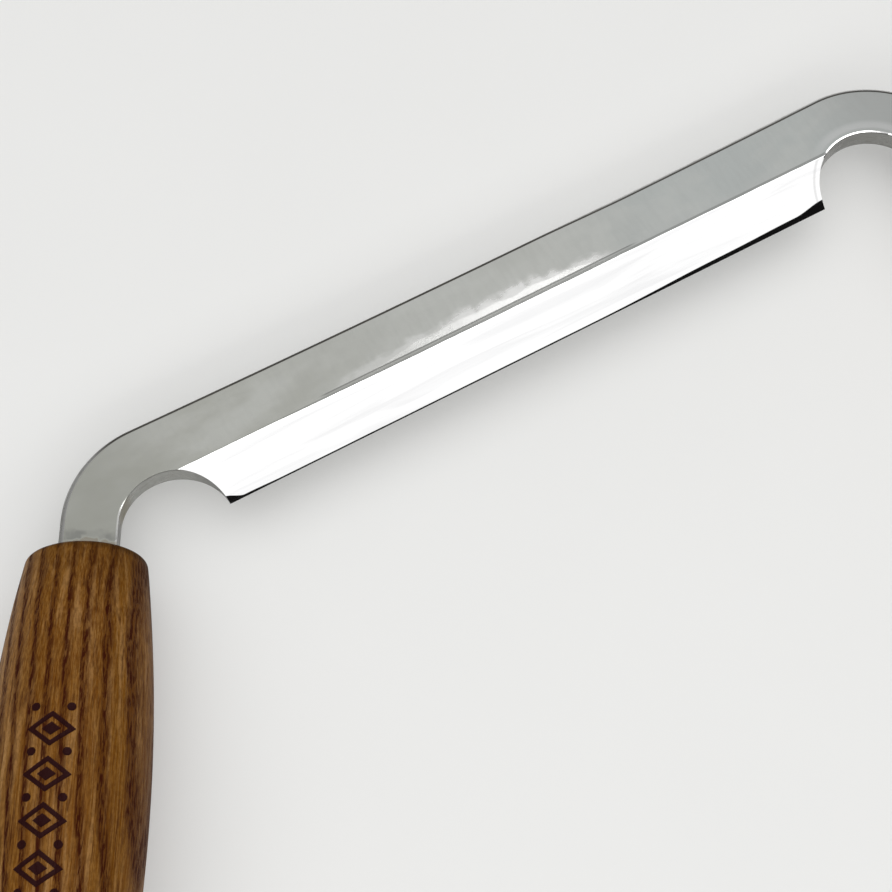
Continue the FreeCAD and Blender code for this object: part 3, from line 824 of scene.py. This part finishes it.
def make_floor():
    """A pale floor that gives off a little light, so that the shadows on it stay faint."""
    corners = [(-FLOOR_M, -FLOOR_M, 0), (FLOOR_M, -FLOOR_M, 0), (FLOOR_M, FLOOR_M, 0), (-FLOOR_M, FLOOR_M, 0)]
    mesh = bpy.data.meshes.new("floor")
    mesh.from_pydata(corners, [], [(0, 1, 2, 3)])
    made = bpy.data.objects.new("floor", mesh)
    bpy.context.scene.collection.objects.link(made)
    board = Shader("pale_board", Matrix.Identity(4), Roughness=0.7, Specular_IOR_Level=0.2,
                   Emission_Color=rgb(1.0, 1.0, 0.99), Emission_Strength=0.24)
    speck = board.noise(board.stretched(0.02, 0.02, 0.02), detail=3)
    colour = board.mix(speck, rgb(0.555, 0.555, 0.545), rgb(0.575, 0.575, 0.565))
    mesh.materials.append(board.use(Base_Color=colour))
    return made


def add_camera():
    """Looks from EYE to AIM, both in the blade's frame, with the blade's Z upright."""
    eye, aim = to_row(*EYE), to_row(*AIM)
    back = (eye - aim).normalized()
    up = BLADE.to_3x3() @ Vector((0, 0, 1))
    right = up.cross(back).normalized()
    data = bpy.data.cameras.new("camera")
    data.lens, data.sensor_width, data.clip_start = LENS_MM, SENSOR_MM, 0.01
    camera = bpy.data.objects.new("camera", data)
    bpy.context.scene.collection.objects.link(camera)
    turn = Matrix((right, back.cross(right), back)).transposed().to_4x4()
    camera.matrix_world = Matrix.Translation(eye) @ turn
    bpy.context.scene.camera = camera


def add_softbox(name, tilt, width_deg, length_m, radiance, along_m=0.14, gloss_only=True):
    """A long area light over the blade, parallel to its edge, tilted from straight overhead
    towards the spine by tilt degrees, seen width_deg degrees wide, its middle along_m to the right.
    With gloss_only it only shows as a reflection."""
    lean = math.radians(tilt)
    out = BLADE.to_3x3() @ Vector((0, math.sin(lean), math.cos(lean)))
    width = 2 * LIGHT_DISTANCE_M * math.tan(math.radians(width_deg) / 2)
    data = bpy.data.lights.new(name, "AREA")
    data.shape, data.size, data.size_y = "RECTANGLE", length_m, width
    data.energy = radiance * math.pi * length_m * width
    light = bpy.data.objects.new(name, data)
    light.visible_diffuse = not gloss_only
    bpy.context.scene.collection.objects.link(light)
    right = Vector((1, 0, 0))
    turn = Matrix((right, out.cross(right), out)).transposed().to_4x4()
    light.matrix_world = Matrix.Translation(to_row(along_m / MM, 0, 0) + out * LIGHT_DISTANCE_M) @ turn


def add_ceiling():
    """A wide, even ceiling light that gives the floor and the wood soft shade. It isn't reflected."""
    data = bpy.data.lights.new("ceiling", "AREA")
    data.shape, data.size = "SQUARE", CEILING_M
    data.energy = CEILING_RADIANCE * math.pi * CEILING_M ** 2
    light = bpy.data.objects.new("ceiling", data)
    light.visible_glossy = light.visible_camera = False
    light.location = (0, 0, CEILING_HEIGHT_M)
    bpy.context.scene.collection.objects.link(light)


def add_world():
    """A grey patch of ceiling over the spine side that falls off to dark walls. Seen directly,
    it is a plain pale backdrop."""
    world = bpy.data.worlds.new("studio")
    world.use_nodes = True
    bpy.context.scene.world = world
    tree = world.node_tree
    background = tree.nodes["Background"]
    direction = tree.nodes.new("ShaderNodeTexCoord")
    towards = tree.nodes.new("ShaderNodeVectorMath")
    towards.operation = "DOT_PRODUCT"
    ramp = tree.nodes.new("ShaderNodeValToRGB")
    lean = math.radians(30)
    tree.links.new(direction.outputs["Generated"], towards.inputs[0])
    towards.inputs[1].default_value = BLADE.to_3x3() @ Vector((0.1, math.sin(lean), math.cos(lean)))
    tree.links.new(towards.outputs["Value"], ramp.inputs["Fac"])
    stops = ((0.0, 0.04), (0.40, 0.05), (0.80, 0.52), (1.0, 0.68))
    first, last = ramp.color_ramp.elements
    first.position, last.position = stops[0][0], stops[-1][0]
    for position, _ in stops[1:-1]:
        ramp.color_ramp.elements.new(position)
    for element, (_, level) in zip(ramp.color_ramp.elements, stops):
        element.color = rgb(level, level, level)
    seen = tree.nodes.new("ShaderNodeLightPath")
    choose = tree.nodes.new("ShaderNodeMix")
    choose.data_type = "RGBA"
    tree.links.new(seen.outputs["Is Camera Ray"], choose.inputs["Factor"])
    tree.links.new(ramp.outputs["Color"], choose.inputs[6])
    choose.inputs[7].default_value = rgb(0.80, 0.80, 0.79)
    tree.links.new(choose.outputs[2], background.inputs["Color"])


floor = make_floor()
add_camera()
add_softbox("fill", tilt=-24, width_deg=30, length_m=2.6, radiance=0.97)
add_softbox("key", tilt=0, width_deg=16, length_m=2.0, radiance=3.0)
add_softbox("front", tilt=-62, width_deg=20, length_m=2.2, radiance=1.9, along_m=-0.75, gloss_only=False)
add_ceiling()
add_world()
bpy.context.scene.view_settings.view_transform = "Standard"
